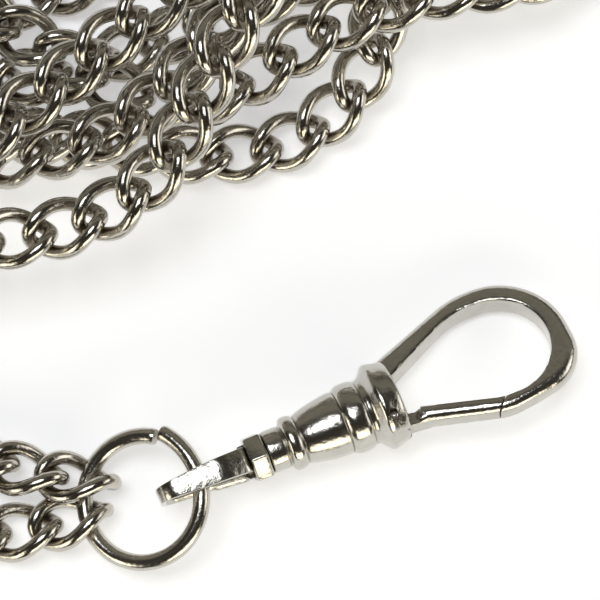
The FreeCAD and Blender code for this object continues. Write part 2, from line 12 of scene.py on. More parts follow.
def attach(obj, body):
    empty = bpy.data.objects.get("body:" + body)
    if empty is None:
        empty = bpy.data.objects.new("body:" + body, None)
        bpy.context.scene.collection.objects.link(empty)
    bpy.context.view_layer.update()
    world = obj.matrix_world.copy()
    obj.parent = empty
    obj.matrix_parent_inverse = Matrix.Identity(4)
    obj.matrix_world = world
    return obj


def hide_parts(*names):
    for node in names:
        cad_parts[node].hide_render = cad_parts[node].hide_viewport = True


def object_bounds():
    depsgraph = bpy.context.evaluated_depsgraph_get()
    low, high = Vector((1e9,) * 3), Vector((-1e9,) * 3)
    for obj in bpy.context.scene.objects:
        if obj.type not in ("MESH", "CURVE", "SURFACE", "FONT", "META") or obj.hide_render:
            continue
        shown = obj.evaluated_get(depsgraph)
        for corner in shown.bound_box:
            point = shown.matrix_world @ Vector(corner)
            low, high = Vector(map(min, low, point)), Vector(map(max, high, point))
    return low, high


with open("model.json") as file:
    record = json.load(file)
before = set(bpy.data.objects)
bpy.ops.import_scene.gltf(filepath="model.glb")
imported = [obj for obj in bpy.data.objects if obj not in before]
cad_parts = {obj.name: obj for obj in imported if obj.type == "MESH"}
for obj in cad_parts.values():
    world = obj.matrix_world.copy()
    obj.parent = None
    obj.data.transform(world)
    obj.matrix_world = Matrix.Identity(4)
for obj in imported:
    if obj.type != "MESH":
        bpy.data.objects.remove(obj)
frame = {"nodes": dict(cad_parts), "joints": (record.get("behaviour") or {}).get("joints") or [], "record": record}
cad_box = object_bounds()

MM = 0.001
JOINTS = {joint["name"]: joint for joint in frame["joints"]}
NODE_BODY = {node: body for body, nodes in frame["record"]["behaviour"]["bodies"].items()
             for node in nodes}

# ---- sizes, in millimetres ---------------------------------------------------------------------
LINK_WIRE = 1.03
LINK_HALF_LENGTH = 2.60
LINK_HALF_WIDTH = 1.68
LINK_TWIST = -54.0              # degrees from the middle of the link to either end
LINK_STEPS = 64                 # along the wire
LINK_SIDES = 18                 # around the wire

RING_WIRE = 1.20
RING_RADIUS = 4.40
RING_OPEN_RADIUS = 5.30         # the end that stands off a little
RING_OPEN_PART = 62.0           # degrees of the ring that belong to it
RING_CENTRE = (-9.15, 0.50)     # from the swivel's neck, on the table
RING_HEIGHT = 3.20
RING_TILT = 20.0
RING_DIRECTION = -12.0
RING_END_DIRECTION = 52.0
RING_GAP = 0.15

NECK_LENGTH = 1.31
BEAD_LENGTH = 1.20
BARREL_LENGTH = 3.19
WIDE_BEAD_LENGTH = 1.68
WAIST_LENGTH = 0.72
COLLAR_LENGTH = 1.80
NECK_RADIUS = 1.54
BEAD_RADIUS = 1.98
BARREL_RADII = (1.80, 2.18, 2.32)
WIDE_BEAD_RADIUS = 2.56
WAIST_RADIUS = 2.38
COLLAR_RADIUS = 3.20
GROOVE = 0.10

HOOK_DEPTH = 1.90
HOOK_ROUND = 0.80
HOOK_THICK = 1.45
HOOK_END_THICK = 1.59
EYE_TOP = 4.15
EYE_END = 21.53
EYE_RADIUS = 3.75
HOOK_SECTION_POINTS = 48        # round the hook's bar
NOSE_START = 16.10
GATE_CUT_ANGLE = 45.0           # slant of the butt between gate and nose, degrees
NOSE_BEVEL = 0.14
GATE_BEVEL = 0.15
GATE_GAP = 0.14
GATE_SHOULDER = 11.0
PIVOT = (8.95, -2.00)
PIN_RADIUS = 0.28
PIN_LENGTH = 4.40
EAR_DEPTH = 1.24
EAR_RADIUS = 0.74
SLOT_START = 7.15
SLOT_LENGTH = 3.20
SLOT_DEPTH = 1.50
SLOT_OUTER = 2.86
SLOT_INNER = 0.05
SLOT_WAIST_OUTER = 2.12         # its outer wall where it runs inside the waist
SLOT_WAIST_END = 8.35
CAVITY_RADIUS = 1.05
CAVITY_START = 1.90
CAVITY_END = 7.75
RUN = 0.07

COLLAR_HALF_WIDTH = 1.80        # across its corners
COLLAR_BLOCK_LENGTH = 1.28
COLLAR_CORNER = 0.16
COLLAR_BEVEL = 0.13
RIVET_RADIUS = 0.55
BAIL_WIDTH = 1.86               # beside the collar
BAIL_MIDDLE_WIDTH = 1.58
BAIL_MIDDLE = 3.70              # from the collar to where it begins to narrow
BAIL_TIP_WIDTH = 0.86
BAIL_BAND = 0.60
BAIL_BEVEL = 0.24
BAIL_LENGTH = 6.80
BAIL_FOOT_WIDTH = 2.50
BAIL_FOOT_LENGTH = 2.90


# ---- frames ------------------------------------------------------------------------------------
def axes_matrix(x, y, z, origin):
    """A frame from its three axes and its origin."""
    turn = Matrix((x, y, z)).transposed().to_4x4()
    return Matrix.Translation(origin) @ turn


def swivel_frame():
    """The swivel's own frame in millimetres: X along it from the neck, Z across the hook's plane."""
    along = Vector(JOINTS["hook_turn"]["axis"]).normalized()
    across = Vector(JOINTS["gate_open"]["axis"]).normalized()
    neck = Vector(JOINTS["hook_turn"]["pos_m"])
    return axes_matrix(along, across.cross(along), across, neck) @ Matrix.Scale(MM, 4)


def bail_frame():
    """The bail's frame: the swivel's, turned about its axis until the bail's loop stands upright."""
    along = Vector(JOINTS["hook_turn"]["axis"]).normalized()
    side = Vector((0, 0, 1)).cross(along).normalized()
    neck = Vector(JOINTS["hook_turn"]["pos_m"])
    return axes_matrix(along, side, along.cross(side), neck) @ Matrix.Scale(MM, 4)


def ring_frame():
    """The jump ring's frame in millimetres: its plane is XY and the cut end starts at +X."""
    neck = Vector(JOINTS["hook_turn"]["pos_m"])
    centre = Vector((neck.x + RING_CENTRE[0] * MM, neck.y + RING_CENTRE[1] * MM, RING_HEIGHT * MM))
    level = RING_END_DIRECTION - RING_OPEN_PART - RING_DIRECTION
    turn = (Matrix.Rotation(math.radians(RING_DIRECTION), 4, "Z")
            @ Matrix.Rotation(math.radians(-RING_TILT), 4, "Y")
            @ Matrix.Rotation(math.radians(level), 4, "Z"))
    return Matrix.Translation(centre) @ turn @ Matrix.Scale(MM, 4)


# ---- mesh helpers ------------------------------------------------------------------------------
def loft(rings, closed=False):
    """Points and faces of a tube through rings of points, with flat ends if it isn't closed."""
    sides = len(rings[0])
    points = [p for ring in rings for p in ring]
    faces = []
    last = len(rings) if closed else len(rings) - 1
    for i in range(last):
        a = i * sides
        b = (i + 1) % len(rings) * sides
        for k in range(sides):
            n = (k + 1) % sides
            faces.append((a + k, a + n, b + n, b + k))
    if not closed:
        faces.append(tuple(reversed(range(sides))))
        faces.append(tuple(range(len(points) - sides, len(points))))
    return points, faces


def make_object(name, points, faces, place=Matrix.Identity(4), sharp=40.0):
    """A mesh object in the row frame, smooth but for edges sharper than the given angle."""
    mesh = bpy.data.meshes.new(name)
    mesh.from_pydata([tuple(place @ Vector(p)) for p in points], [], faces)
    piece = bpy.data.objects.new(name, mesh)
    bpy.context.scene.collection.objects.link(piece)
    tidy_mesh(piece, sharp)
    return piece


def tidy_mesh(piece, sharp=40.0):
    """Faces turned outwards, smooth but for sharp edges."""
    work = bmesh.new()
    work.from_mesh(piece.data)
    bmesh.ops.recalc_face_normals(work, faces=work.faces)
    limit = math.radians(sharp)
    for face in work.faces:
        face.smooth = True
    for edge in work.edges:
        edge.smooth = len(edge.link_faces) == 2 and edge.calc_face_angle(0.0) < limit
    work.to_mesh(piece.data)
    work.free()


def apply_modifier(piece, kind, **settings):
    """Adds one modifier, bakes it into the mesh and takes it off again."""
    modifier = piece.modifiers.new("work", kind)
    for key, value in settings.items():
        setattr(modifier, key, value)
    bpy.context.view_layer.update()
    seen = bpy.context.evaluated_depsgraph_get()
    mesh = bpy.data.meshes.new_from_object(piece.evaluated_get(seen))
    piece.modifiers.clear()
    piece.data = mesh


def combine(piece, other, operation):
    """Boolean of two pieces; the other one is used up."""
    apply_modifier(piece, "BOOLEAN", object=other, operation=operation, solver="MANIFOLD")
    bpy.data.objects.remove(other)


def transform(piece, matrix):
    """Moves a mesh's points."""
    piece.data.transform(matrix)


def lathe_rings(profile, sides):
    """Rings about X from (x, radius) points."""
    rings = []
    for x, radius in profile:
        angles = [2 * math.pi * k / sides for k in range(sides)]
        rings.append([(x, radius * math.cos(a), radius * math.sin(a)) for a in angles])
    return rings


def softened(profile, rounds=2):
    """A turned outline with its corners cut, so that it reads as polished metal."""
    for _ in range(rounds):
        soft = [profile[0]]
        for (x0, r0), (x1, r1) in zip(profile, profile[1:]):
            soft.append((x0 * 0.75 + x1 * 0.25, r0 * 0.75 + r1 * 0.25))
            soft.append((x0 * 0.25 + x1 * 0.75, r0 * 0.25 + r1 * 0.75))
        soft.append(profile[-1])
        profile = soft
    return profile


def rounded_outline(corners, step=0.12):
    """Points along a closed outline through corners (x, y, radius), rounded by tangent arcs."""
    points = []
    count = len(corners)
    for i in range(count):
        here = Vector(corners[i][:2])
        before = Vector(corners[i - 1][:2])
        after = Vector(corners[(i + 1) % count][:2])
        radius = corners[i][2]
        back = (before - here).normalized()
        ahead = (after - here).normalized()
        half = back.angle(ahead) / 2
        if radius <= 0:
            points.append(here)
            continue
        centre = here + (back + ahead).normalized() * (radius / math.sin(half))
        start = here + back * (radius / math.tan(half)) - centre
        end = here + ahead * (radius / math.tan(half)) - centre
        turn = start.angle_signed(end)
        parts = max(3, int(abs(turn) * radius / step))
        for k in range(parts + 1):
            spin = Matrix.Rotation(-turn * k / parts, 2)
            points.append(centre + spin @ start)
    return points


def spaced(points, step):
    """The same open line, with points at equal steps."""
    along = [0.0]
    for a, b in zip(points, points[1:]):
        along.append(along[-1] + (b - a).length)
    parts = max(2, round(along[-1] / step))
    want = np.linspace(0.0, along[-1], parts + 1)
    columns = [np.interp(want, along, [p[c] for p in points]) for c in range(len(points[0]))]
    return [Vector(p) for p in zip(*columns)]


# ---- materials ---------------------------------------------------------------------------------
def node(tree, kind, inputs=None, **settings):
    """One node, with its inputs linked or set."""
    made = tree.nodes.new(kind)
    for key, value in settings.items():
        setattr(made, key, value)
    for key, value in (inputs or {}).items():
        if isinstance(value, bpy.types.NodeSocket):
            tree.links.new(value, made.inputs[key])
        else:
            made.inputs[key].default_value = value
    return made


def plated_metal(name, plate_colour, painted_shade_and_tone, roughness, bump_scale, bump):
    """Polished nickel plate: cloudy polish, fine dents and pits, and painted shade in corners and between parts,
    where ambient occlusion darkens the colour.
    """
    material = bpy.data.materials.new(name)
    material.use_nodes = True
    tree = material.node_tree
    shader = tree.nodes["Principled BSDF"]
    shader.inputs["Metallic"].default_value = 1.0
    place = node(tree, "ShaderNodeTexCoord").outputs["Object"]
    cloud = node(tree, "ShaderNodeTexNoise", {"Vector": place, "Scale": 900.0, "Detail": 5.0,
                                              "Roughness": 0.6}).outputs["Fac"]
    fine = node(tree, "ShaderNodeTexNoise", {"Vector": place, "Scale": bump_scale, "Detail": 3.0,
                                             "Roughness": 0.55}).outputs["Fac"]
    pits = node(tree, "ShaderNodeTexVoronoi", {"Vector": place, "Scale": 2600.0,
                                               "Randomness": 1.0}).outputs["Distance"]
    pit = node(tree, "ShaderNodeMapRange", {"Value": pits, "From Min": 0.04, "From Max": 0.13,
                                            "To Min": 0.0, "To Max": 1.0}).outputs["Result"]
    where = node(tree, "ShaderNodeMapRange", {"Value": cloud, "From Min": 0.52, "From Max": 0.66,
                                              "To Min": 1.0, "To Max": 0.0}).outputs["Result"]
    shallow = node(tree, "ShaderNodeMath", {0: pit, 1: where}, operation="MAXIMUM").outputs[0]
    # Painted shade: ambient occlusion darkens the colour in corners, between parts and close to the floor.
    corner = node(tree, "ShaderNodeAmbientOcclusion", {"Distance": 0.0009}, samples=6).outputs["AO"]
    open_part = node(tree, "ShaderNodeMapRange", {"Value": corner, "From Min": 0.25,
                                                  "From Max": 0.85}).outputs["Result"]
    tone = node(tree, "ShaderNodeMapRange", {"Value": cloud, "From Min": 0.3, "From Max": 0.7,
                                             "To Min": 0.82, "To Max": 1.0}).outputs["Result"]
    # Share of the plate colour: the painted shade from the occlusion times a random cloudy tone; it also sets the
    # roughness.
    kept = node(tree, "ShaderNodeMath", {0: open_part, 1: tone}, operation="MULTIPLY").outputs[0]
    colour = node(tree, "ShaderNodeMix", {"Factor": kept, "A": painted_shade_and_tone, "B": plate_colour},
                  data_type="RGBA").outputs["Result"]
    tree.links.new(colour, shader.inputs["Base Color"])
    worn = node(tree, "ShaderNodeMapRange", {"Value": kept, "From Min": 0.0, "From Max": 1.0,
                                             "To Min": roughness[1], "To Max": roughness[0]})
    tree.links.new(worn.outputs["Result"], shader.inputs["Roughness"])
    soft = node(tree, "ShaderNodeBump", {"Height": fine, "Strength": bump, "Distance": 0.00005})
    pitted = node(tree, "ShaderNodeBump", {"Height": shallow, "Strength": 0.35,
                                           "Distance": 0.00003,
                                           "Normal": soft.outputs["Normal"]})
    tree.links.new(pitted.outputs["Normal"], shader.inputs["Normal"])
    return material


def dress(piece, material, body, nodes):
    """Gives a piece its material and ties it to its body and CAD nodes."""
    piece.data.materials.clear()
    piece.data.materials.append(material)
    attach(piece, body)
    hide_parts(*nodes)


# ---- curb links --------------------------------------------------------------------------------
def link_line(t):
    """The link's centreline: an oval whose plane turns by the twist on the way to each end."""
    turn = math.radians(LINK_TWIST) * math.cos(t)
    across = LINK_HALF_WIDTH * math.sin(t)
    return Vector((LINK_HALF_LENGTH * math.cos(t), across * math.cos(turn),
                   across * math.sin(turn)))


def link_mesh():
    """Points and faces of one link at the origin, in millimetres."""
    rings = []
    for i in range(LINK_STEPS):
        t = 2 * math.pi * i / LINK_STEPS
        centre = link_line(t)
        along = (link_line(t + 1e-4) - link_line(t - 1e-4)).normalized()
        side = along.cross(Vector((0, 0, 1))).normalized()
        up = side.cross(along)
        ring = []
        for k in range(LINK_SIDES):
            a = 2 * math.pi * k / LINK_SIDES
            ring.append(centre + (side * math.cos(a) + up * math.sin(a)) * (LINK_WIRE / 2))
        rings.append(ring)
    return loft(rings, closed=True)


def solids_of(node_name):
    """The separate closed parts of a CAD node, as arrays of triangle corners in metres."""
    work = bmesh.new()
    work.from_mesh(frame["nodes"][node_name].data)
    bmesh.ops.remove_doubles(work, verts=work.verts, dist=1e-7)
    bmesh.ops.triangulate(work, faces=work.faces)
    work.verts.index_update()
    owner = [-1] * len(work.verts)
    groups = 0
    for seed in work.verts:
        if owner[seed.index] >= 0:
            continue
        reach = [seed]
        owner[seed.index] = groups
        while reach:
            for edge in reach.pop().link_edges:
                for vert in edge.verts:
                    if owner[vert.index] < 0:
                        owner[vert.index] = groups
                        reach.append(vert)
        groups += 1
    parts = [[] for _ in range(groups)]
    for face in work.faces:
        parts[owner[face.verts[0].index]].append([tuple(v.co) for v in face.verts])
    work.free()
    return [np.array(part) for part in parts]


def link_place(triangles):
    """Where a link lies, from its surface: its centre, and its axes from longest to flattest."""
    a, b, c = triangles[:, 0], triangles[:, 1], triangles[:, 2]
    area = np.linalg.norm(np.cross(b - a, c - a), axis=1)
    middles = np.concatenate([(a + b) / 2, (b + c) / 2, (c + a) / 2])
    weight = np.concatenate([area, area, area])
    centre = (middles * weight[:, None]).sum(0) / weight.sum()
    spread = (middles - centre) * np.sqrt(weight)[:, None]
    _, axes = np.linalg.eigh(spread.T @ spread)
    along, across = Vector(axes[:, 2]), Vector(axes[:, 1])
    return axes_matrix(along, across, along.cross(across), Vector(centre)) @ Matrix.Scale(MM, 4)


def make_links(node_name, material):
    """The links of one CAD node, rebuilt as smooth wire where they lie."""
    link_points, link_faces = link_mesh()
    points, faces = [], []
    for solid in solids_of(node_name):
        place = link_place(solid)
        first = len(points)
        points += [place @ p for p in link_points]
        faces += [tuple(first + i for i in face) for face in link_faces]
    piece = make_object(node_name + "_wire", points, faces)
    dress(piece, material, NODE_BODY[node_name], [node_name])


# ---- jump ring ---------------------------------------------------------------------------------
def ring_stations():
    """Centre and outward direction of the wire from one cut end to the other."""
    stations = []
    gap = math.degrees(RING_GAP / RING_RADIUS)
    round_part = 360 - gap - RING_OPEN_PART
    open_turn = RING_OPEN_PART * RING_RADIUS / RING_OPEN_RADIUS
    open_centre = RING_RADIUS - RING_OPEN_RADIUS
    for k in range(41):
        a = math.radians(open_turn * (1 - k / 40))
        out = Vector((math.cos(a), math.sin(a), 0))
        stations.append((Vector((open_centre, 0, 0)) + out * RING_OPEN_RADIUS, out))
    for k in range(1, 181):
        a = math.radians(-round_part * k / 180)
        out = Vector((math.cos(a), math.sin(a), 0))
        stations.append((out * RING_RADIUS, out))
    return stations


def wire_section(centre, out, radius, sides=28):
    """A ring of points round a wire whose plane normal is Z."""
    ring = []
    for k in range(sides):
        a = 2 * math.pi * k / sides
        ring.append(centre + out * (radius * math.cos(a)) + Vector((0, 0, radius * math.sin(a))))
    return ring


def make_ring(material):
    """Jump ring of round wire, sheared off square, the wire a little narrower at each cut."""
    radius = RING_WIRE / 2
    stations = ring_stations()
    rings = []
    for i, (centre, out) in enumerate(stations):
        from_end = min(i, len(stations) - 1 - i)
        shrink = (0.90, 0.975, 1.0)[min(from_end, 2)]
        rings.append(wire_section(centre, out, radius * shrink))
    points, faces = loft(rings)
    piece = make_object("jump_ring_wire", points, faces, ring_frame())
    dress(piece, material, "ring", ["jump_ring"])


# ---- swivel: hook body and gate ----------------------------------------------------------------
def barrel_profile():
    """Turned outline from the neck's face to the collar's face."""
    x1 = NECK_LENGTH
    x2 = x1 + BEAD_LENGTH
    x3 = x2 + BARREL_LENGTH
    x4 = x3 + WIDE_BEAD_LENGTH
    x5 = x4 + WAIST_LENGTH
    x6 = x5 + COLLAR_LENGTH
    middle = (x2 + x3) / 2
    return [
        (0.0, NECK_RADIUS - 0.14), (0.08, NECK_RADIUS - 0.02), (0.25, NECK_RADIUS),
        (x1 - 0.22, NECK_RADIUS), (x1 - 0.06, NECK_RADIUS - 0.04), (x1, NECK_RADIUS - GROOVE),
        (x1 + 0.08, NECK_RADIUS), (x1 + 0.20, BEAD_RADIUS - 0.12), (x1 + 0.45, BEAD_RADIUS),
        (x2 - 0.45, BEAD_RADIUS), (x2 - 0.18, BEAD_RADIUS - 0.08), (x2 - 0.03, BARREL_RADII[0] - 0.03),
        (x2 + 0.02, BARREL_RADII[0] - GROOVE), (x2 + 0.10, BARREL_RADII[0]),
        (x2 + 0.7, BARREL_RADII[0] + 0.18), (middle, BARREL_RADII[1]),
        (x3 - 0.6, BARREL_RADII[2] - 0.02), (x3 - 0.12, BARREL_RADII[2]),
        (x3 - 0.02, BARREL_RADII[2] - 0.06), (x3, BARREL_RADII[2] - GROOVE),
        (x3 + 0.06, BARREL_RADII[2]), (x3 + 0.25, WIDE_BEAD_RADIUS - 0.10),
        (x3 + 0.55, WIDE_BEAD_RADIUS), (x4 - 0.55, WIDE_BEAD_RADIUS),
        (x4 - 0.22, WIDE_BEAD_RADIUS - 0.06), (x4 - 0.04, WAIST_RADIUS + 0.02),
        (x4 + 0.02, WAIST_RADIUS - 0.06), (x4 + 0.12, WAIST_RADIUS), (x5 - 0.30, WAIST_RADIUS + 0.08),
        (x5 - 0.05, COLLAR_RADIUS - 0.42), (x5 + 0.18, COLLAR_RADIUS - 0.10),
        (x5 + 0.42, COLLAR_RADIUS), (x5 + 0.80, COLLAR_RADIUS - 0.10),
        (x6 - 0.28, COLLAR_RADIUS - 0.28), (x6 - 0.06, COLLAR_RADIUS - 0.42),
        (x6, COLLAR_RADIUS - 0.60),
    ]


def uneven(point, size, seed):
    """How far a cast and hand-polished surface stands off at a point."""
    where = Vector(point) * 0.55 + Vector((seed, 0, 0))
    return size * noise.noise(where) + size * 0.35 * noise.noise(where * 3.1)


def make_barrel():
    """The turned barrel as a solid, a little uneven, with the mould's seam along both sides."""
    sides = 120
    rings = []
    for ring in lathe_rings(softened(barrel_profile()), sides):
        bent = []
        for k, p in enumerate(ring):
            radius = math.hypot(p[1], p[2])
            angle = math.degrees(math.atan2(p[2], p[1]))
            off = uneven(p, 0.020, 3.0)
            seam = min(abs(abs(angle) - 180), abs(angle))
            if seam < 2.5:
                off += 0.022 + 0.02 * noise.noise(Vector((p[0] * 4.5, 7.0, 0)))
            scale = (radius + off) / radius
            bent.append((p[0], p[1] * scale, p[2] * scale))
        rings.append(bent)
    points, faces = loft(rings)
    return make_object("hook_body_casting", points, faces)


def hook_outlines():
    """Outer and inner outlines of the bent hook, from the collar's upper side and round."""
    outer = rounded_outline([
        (9.40, 3.08, 0), (16.20, EYE_TOP + HOOK_THICK, 7.0),
        (EYE_END + HOOK_END_THICK, EYE_TOP + HOOK_THICK, 5.25),
        (EYE_END + HOOK_END_THICK, -3.73, 3.4), (16.70, -4.49, 4.0), (9.40, -2.24, 0),
    ])
    inner = rounded_outline([
        (8.60, 0.66, 0), (15.75, EYE_TOP, 6.0), (EYE_END, EYE_TOP, EYE_RADIUS - 0.005),
        (EYE_END, EYE_TOP - 2 * EYE_RADIUS, EYE_RADIUS - 0.005),
        (16.60, EYE_TOP - 2 * EYE_RADIUS - 0.02, 4.0), (8.60, -0.80, 0),
    ])
    return outer, inner


def hit(start, direction, outline):
    """Distance from a point along a direction to an outline."""
    best = 1e9
    for a, b in zip(outline, outline[1:]):
        edge = b - a
        cross = direction.x * edge.y - direction.y * edge.x
        if abs(cross) < 1e-9:
            continue
        offset = a - start
        reach = (offset.x * edge.y - offset.y * edge.x) / cross
        share = (offset.x * direction.y - offset.y * direction.x) / cross
        if reach > 0 and -0.001 <= share <= 1.001:
            best = min(best, reach)
    return best


def hook_section(thick):
    """D-shaped section as (outward, across) points: flat inside, well rounded outside."""
    half = HOOK_DEPTH / 2
    corners = [
        (0.0, -half, 0.16), (0.0, half, 0.16),
        (thick, half, min(HOOK_ROUND, thick * 0.62)),
        (thick, -half, min(HOOK_ROUND, thick * 0.62)),
    ]
    points = rounded_outline(corners, 0.09)
    return spaced(points + [points[0]], 0.13)[:-1]


def hook_bar():
    """The whole bent hook with the gate's bar still on it, as one closed tube."""
    outer, inner = hook_outlines()
    first = Vector((8.0, outer[0].y + (8.0 - outer[0].x) * 0.413))
    last = Vector((8.0, outer[-1].y - (8.0 - outer[-1].x) * 0.30))
    outer = [first] + outer + [last]
    line = spaced(inner, 0.20)
    rings = []
    for i, here in enumerate(line):
        ahead = (line[min(i + 1, len(line) - 1)] - line[max(i - 1, 0)]).normalized()
        out = Vector((-ahead.y, ahead.x))
        thick = min(hit(here, out, outer), 2.0)
        ring = []
        for outward, across in section_of(thick):
            p = here + out * outward
            ring.append((p.x, p.y, across))
        rings.append(ring)
    points, faces = loft(rings)
    return make_object("hook_bar", points, faces)


def section_of(thick):
    """The hook's section with the same number of points at any thickness."""
    points = hook_section(thick)
    loop = points + [points[0]]
    along = [0.0]
    for a, b in zip(loop, loop[1:]):
        along.append(along[-1] + (b - a).length)
    want = np.linspace(0.0, along[-1], HOOK_SECTION_POINTS + 1)[:-1]
    return list(zip(np.interp(want, along, [p.x for p in loop]),
                    np.interp(want, along, [p.y for p in loop])))


def box_piece(low, high):
    """A plain block to cut with."""
    points = [(x, y, z) for x in (low[0], high[0]) for y in (low[1], high[1])
              for z in (low[2], high[2])]
    faces = [(0, 1, 3, 2), (4, 6, 7, 5), (0, 4, 5, 1), (2, 3, 7, 6), (0, 2, 6, 4), (1, 5, 7, 3)]
    return make_object("cutter", points, faces)


def rod_piece(profile, sides=48):
    """A turned block to cut with, or to keep."""
    points, faces = loft(lathe_rings(profile, sides))
    return make_object("rod", points, faces)


def gate_side(offset):
    """Block that covers the gate's side of the slanted butt, down to its far end in the collar."""
    block = box_piece((-7.3, -6.0, -3.0), (0.0, 1.4, 3.0))
    place = Matrix.Translation((NOSE_START - offset, -4.1, 0))
    transform(block, place @ Matrix.Rotation(math.radians(-GATE_CUT_ANGLE), 4, "Z"))
    return block


def pin_hole(radius):
    """Rod across the hook's plane on the gate pin's axis."""
    hole = rod_piece([(-4.0, radius), (4.0, radius)], 32)
    transform(hole, Matrix.Translation((*PIVOT, 0)) @ Matrix.Rotation(math.pi / 2, 4, "Y"))
    return hole


def make_hook_body(material):
    """Barrel and hook in one casting, with the gate's slot and the bores."""
    body = make_barrel()
    hook = hook_bar()
    combine(hook, gate_side(0.0), "DIFFERENCE")
    apply_modifier(hook, "BEVEL", width=NOSE_BEVEL, segments=2, limit_method="ANGLE",
                   angle_limit=math.radians(50))
    combine(body, hook, "UNION")
    half = SLOT_DEPTH / 2
    end = SLOT_START + SLOT_LENGTH
    inner_part = box_piece((SLOT_START, -SLOT_WAIST_OUTER, -half), (end, -SLOT_INNER, half))
    combine(body, inner_part, "DIFFERENCE")
    outer_part = box_piece((SLOT_WAIST_END, -SLOT_OUTER, -half), (end, -2.0, half))
    combine(body, outer_part, "DIFFERENCE")
    combine(body, rod_piece([
        (-1.0, RIVET_RADIUS + RUN), (CAVITY_START, RIVET_RADIUS + RUN),
        (CAVITY_START + 0.01, CAVITY_RADIUS), (CAVITY_END, CAVITY_RADIUS),
    ]), "DIFFERENCE")
    combine(body, pin_hole(PIN_RADIUS), "DIFFERENCE")
    tidy_mesh(body, 35.0)
    transform(body, swivel_frame())
    dress(body, material, "hook", ["hook_body"])


def make_gate(material):
    """Gate: its bar, the shouldered neck that runs into the collar, and the ear on the pin."""
    gate = hook_bar()
    combine(gate, gate_side(GATE_GAP), "INTERSECT")
    combine(gate, box_piece((7.0, -6.0, -3.0), (GATE_SHOULDER, 2.0, 3.0)), "DIFFERENCE")
    apply_modifier(gate, "BEVEL", width=GATE_BEVEL, segments=3, limit_method="ANGLE",
                   angle_limit=math.radians(50))
    px, py = PIVOT
    combine(gate, gate_shoulder(), "UNION")
    combine(gate, neck_piece([(px, py - 0.5), (11.6, -2.80), (11.6, -1.98), (px, py + 0.62)],
                             0.1), "UNION")
    combine(gate, neck_piece([(7.75, -1.30), (8.55, -2.45), (9.35, -1.65), (8.15, -0.55),
                              (7.75, -0.55)], 0.12), "UNION")
    ear = rod_piece([(-EAR_DEPTH / 2, EAR_RADIUS - 0.05), (-EAR_DEPTH / 2 + 0.05, EAR_RADIUS),
                     (EAR_DEPTH / 2 - 0.05, EAR_RADIUS), (EAR_DEPTH / 2, EAR_RADIUS - 0.05)])
    transform(ear, Matrix.Translation((px, py, 0)) @ Matrix.Rotation(math.pi / 2, 4, "Y"))
    combine(gate, ear, "UNION")
    combine(gate, pin_hole(PIN_RADIUS + 0.03), "DIFFERENCE")
    tidy_mesh(gate, 35.0)
    gate.name = "gate_bar"
    transform(gate, swivel_frame())
    dress(gate, material, "gate", ["gate"])


def gate_shoulder():
    """The short taper between the gate's bar and its neck."""
    rings = []
    for x, low, high, half, corner in ((10.42, -2.66, -1.76, 0.60, 0.20),
                                       (10.60, -2.69, -1.68, 0.76, 0.30),
                                       (10.85, -2.71, -1.61, 0.89, 0.38),
                                       (11.15, -2.74, -1.64, 0.92, 0.42)):
        outline = rounded_outline([(low, -half, corner), (high, -half, corner),
                                   (high, half, corner), (low, half, corner)], 0.01)
        outline = spaced(outline + [outline[0]], 0.01)
        want = np.linspace(0, len(outline) - 1, 33)[:-1]
        rings.append([(x, outline[int(k)].x, outline[int(k)].y) for k in want])
    points, faces = loft(rings)
    return make_object("shoulder", points, faces)


def neck_piece(corners, radius):
    """A plate as deep as the gate's ear, with rounded corners."""
    outline = rounded_outline([(x, y, radius) for x, y in corners], 0.05)
    half = EAR_DEPTH / 2
    rings = []
    for z, shrink in ((-half, 0.96), (-half + 0.04, 1.0), (half - 0.04, 1.0), (half, 0.96)):
        middle = sum(outline, Vector((0, 0))) / len(outline)
        rings.append([(*(middle + (p - middle) * shrink), z) for p in outline])
    points, faces = loft(rings)
    return make_object("neck", points, faces)


def make_pin(material):
    """Hinge pin across the collar, with slightly domed ends."""
    half = PIN_LENGTH / 2
    pin = rod_piece([(-half, PIN_RADIUS * 0.45), (-half + 0.03, PIN_RADIUS * 0.8),
                     (-half + 0.09, PIN_RADIUS), (half - 0.09, PIN_RADIUS),
                     (half - 0.03, PIN_RADIUS * 0.8), (half, PIN_RADIUS * 0.45)], 32)
    px, py = PIVOT
    place = Matrix.Translation((px, py, 0)) @ Matrix.Rotation(math.pi / 2, 4, "Y")
    transform(pin, swivel_frame() @ place)
    pin.name = "gate_hinge_pin"
    dress(pin, material, "hook", ["gate_pin"])


# ---- swivel: bail, collar and rivet ------------------------------------------------------------
def make_collar(material):
    """Six-sided collar between the bail's foot and the barrel's neck, its corners rubbed off."""
    start = -COLLAR_BLOCK_LENGTH - RUN
    end = -RUN
    corners = []
    for k in range(6):
        turn = math.radians(60 * k)
        corners.append((COLLAR_HALF_WIDTH * math.cos(turn), COLLAR_HALF_WIDTH * math.sin(turn),
                        COLLAR_CORNER))
    outline = rounded_outline(corners, 0.05)
    rings = []
    for x, inset in ((start, COLLAR_BEVEL), (start + 0.05, 0.05), (start + COLLAR_BEVEL, 0.0),
                     (end - COLLAR_BEVEL, 0.0), (end - 0.05, 0.05), (end, COLLAR_BEVEL)):
        scale = 1 - inset / COLLAR_HALF_WIDTH
        rings.append([(x, p.x * scale, p.y * scale) for p in outline])
    points, faces = loft(rings)
    piece = make_object("swivel_collar_block", points, faces)
    combine(piece, rod_piece([(start - 0.5, RIVET_RADIUS), (end + 0.5, RIVET_RADIUS)]),
            "DIFFERENCE")
    tidy_mesh(piece, 30.0)
    transform(piece, swivel_frame())
    dress(piece, material, "bail", ["swivel_collar"])


